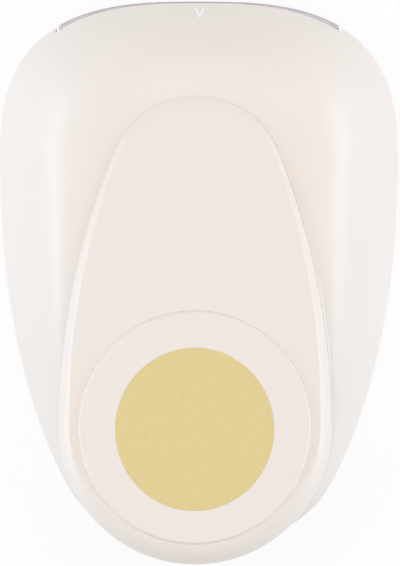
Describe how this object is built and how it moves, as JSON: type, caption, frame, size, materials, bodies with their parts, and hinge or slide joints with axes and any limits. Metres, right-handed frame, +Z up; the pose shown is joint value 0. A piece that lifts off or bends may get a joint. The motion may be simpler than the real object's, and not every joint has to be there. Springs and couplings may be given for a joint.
{
  "type": "circle punch",
  "caption": "Egg-shaped lever circle punch for paper: a broad hinged lever drives a round punch through a slotted die cassette, with a gold disc on its pad.",
  "frame": {"origin": "on the table, at the middle of the punch's length and width", "axes": "+Z up, +Y towards the paper slot, +X to the right of someone looking along +Y"},
  "size_m": [0.088, 0.1234, 0.0521],
  "materials": {
    "shell_plastic": "satin-gloss moulded ivory plastic",
    "lever_plastic": "satin-gloss moulded ivory plastic",
    "base_plastic": "fine-textured moulded ivory plastic",
    "gold_foil": "satin gold foil on a thin disc",
    "cast_zinc": "die-cast, satin",
    "plated_sheet": "zinc-plated pressed steel",
    "bright_steel": "ground and polished",
    "spring_wire": "drawn wire"
  },
  "bodies": {
    "base": {"base_cover": "base_plastic", "base_screw_1": "bright_steel", "base_screw_2": "bright_steel", "base_screw_3": "bright_steel", "base_screw_4": "bright_steel", "base_screw_5": "bright_steel", "base_screw_6": "bright_steel", "die_plate": "cast_zinc", "slot_shim_left": "plated_sheet", "slot_shim_right": "plated_sheet", "slot_shim_rear": "plated_sheet", "guide_plate": "cast_zinc", "cassette_screw_1": "bright_steel", "cassette_screw_2": "bright_steel", "cassette_screw_3": "bright_steel", "cassette_screw_4": "bright_steel", "guide_pin_1": "bright_steel", "guide_pin_2": "bright_steel", "guide_pin_3": "bright_steel", "guide_pin_4": "bright_steel", "return_spring_1": "spring_wire", "return_spring_2": "spring_wire", "return_spring_3": "spring_wire", "return_spring_4": "spring_wire", "housing": "shell_plastic", "pivot_axle": "bright_steel", "axle_clip_left": "spring_wire", "axle_clip_right": "spring_wire"},
    "lever": {"lever_cover": "lever_plastic", "lever_core": "plated_sheet", "lever_screw_1": "bright_steel", "lever_screw_2": "bright_steel", "lever_screw_3": "bright_steel", "pad_cap": "lever_plastic", "colour_disc": "gold_foil", "press_roller": "bright_steel", "roller_pin": "bright_steel"},
    "punch": {"punch_block": "bright_steel", "punch_carrier": "plated_sheet", "carrier_screw_1": "bright_steel", "carrier_screw_2": "bright_steel"}
  },
  "joints": [
    {"name": "lever_hinge", "type": "hinge", "parent": "base", "child": "lever", "pos_m": [0, 0.0478, 0.0182], "axis": [1, 0, 0], "range_deg": [0, 9.3], "stiffness_Nm_per_rad": 2.8, "springref_deg": -9.74},
    {"name": "punch_slide", "type": "slide", "parent": "base", "child": "punch", "axis": [0, 0, -1], "range_m": [0, 0.004], "deforming": ["return_spring_1", "return_spring_2", "return_spring_3", "return_spring_4"]}
  ],
  "couplings": [
    {"joint": "punch_slide", "follows": "lever_hinge", "m_per_rad": 0.02462}
  ]
}
